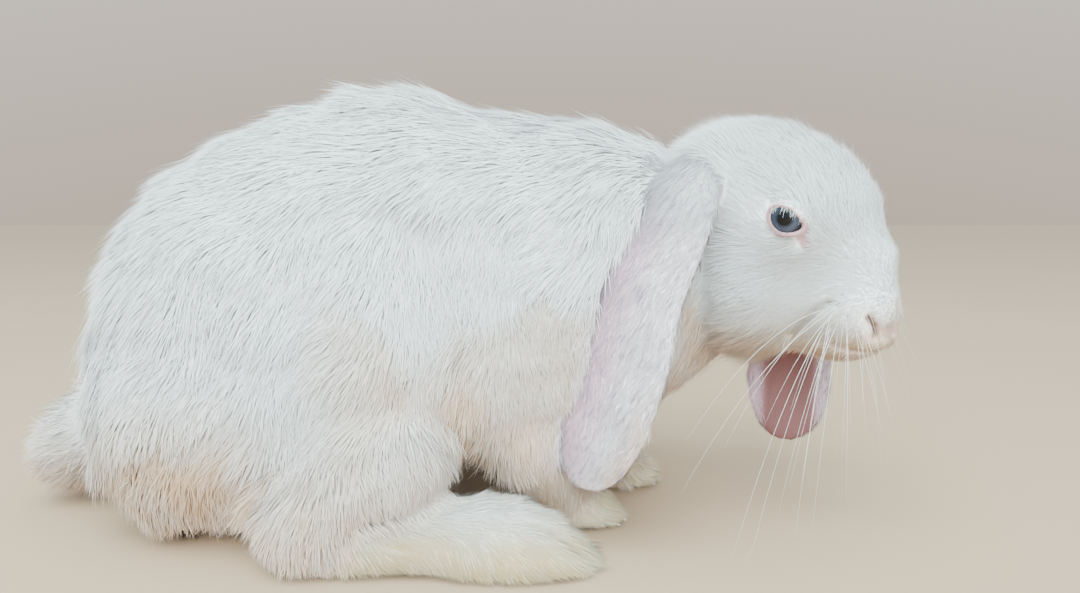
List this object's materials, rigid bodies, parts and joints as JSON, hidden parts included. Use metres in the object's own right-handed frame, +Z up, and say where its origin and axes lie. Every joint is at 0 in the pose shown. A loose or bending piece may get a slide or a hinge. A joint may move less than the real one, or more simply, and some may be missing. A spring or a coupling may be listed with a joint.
{
  "type": "lop rabbit",
  "caption": "Lop-eared rabbit in a white coat, crouching with an arched back, its head turned to its right and its long ears hanging down.",
  "frame": {"origin": "on the ground, under the middle of the bounding box", "axes": "+X towards the front of the body, +Y to the rabbit's left, +Z up"},
  "size_m": [0.3554, 0.1724, 0.177],
  "materials": {
    "coat": "soft white fur",
    "foot_coat": "short cream-white fur",
    "ear_coat": "short sparse white fur over pink skin",
    "eye": "wet blue eye",
    "claw": "pale horn"
  },
  "bodies": {
    "root": {"eye_right": "eye", "eye_left": "eye", "head": "coat", "neck": "coat", "trunk": "coat", "tail": "coat", "thigh_right": "coat", "thigh_left": "coat", "shank_right": "coat", "shank_left": "coat", "foreleg_right": "coat", "foreleg_left": "coat", "ear_right": "ear_coat", "ear_left": "ear_coat", "hind_foot_right": "foot_coat", "hind_foot_left": "foot_coat", "forepaw_right": "foot_coat", "forepaw_left": "foot_coat", "claw_hind_right_1": "claw", "claw_hind_right_2": "claw", "claw_hind_right_3": "claw", "claw_hind_right_4": "claw", "claw_hind_left_1": "claw", "claw_hind_left_2": "claw", "claw_hind_left_3": "claw", "claw_hind_left_4": "claw", "claw_fore_right_1": "claw", "claw_fore_right_2": "claw", "claw_fore_right_3": "claw", "claw_fore_right_4": "claw", "claw_fore_left_1": "claw", "claw_fore_left_2": "claw", "claw_fore_left_3": "claw", "claw_fore_left_4": "claw"}
  },
  "joints": []
}
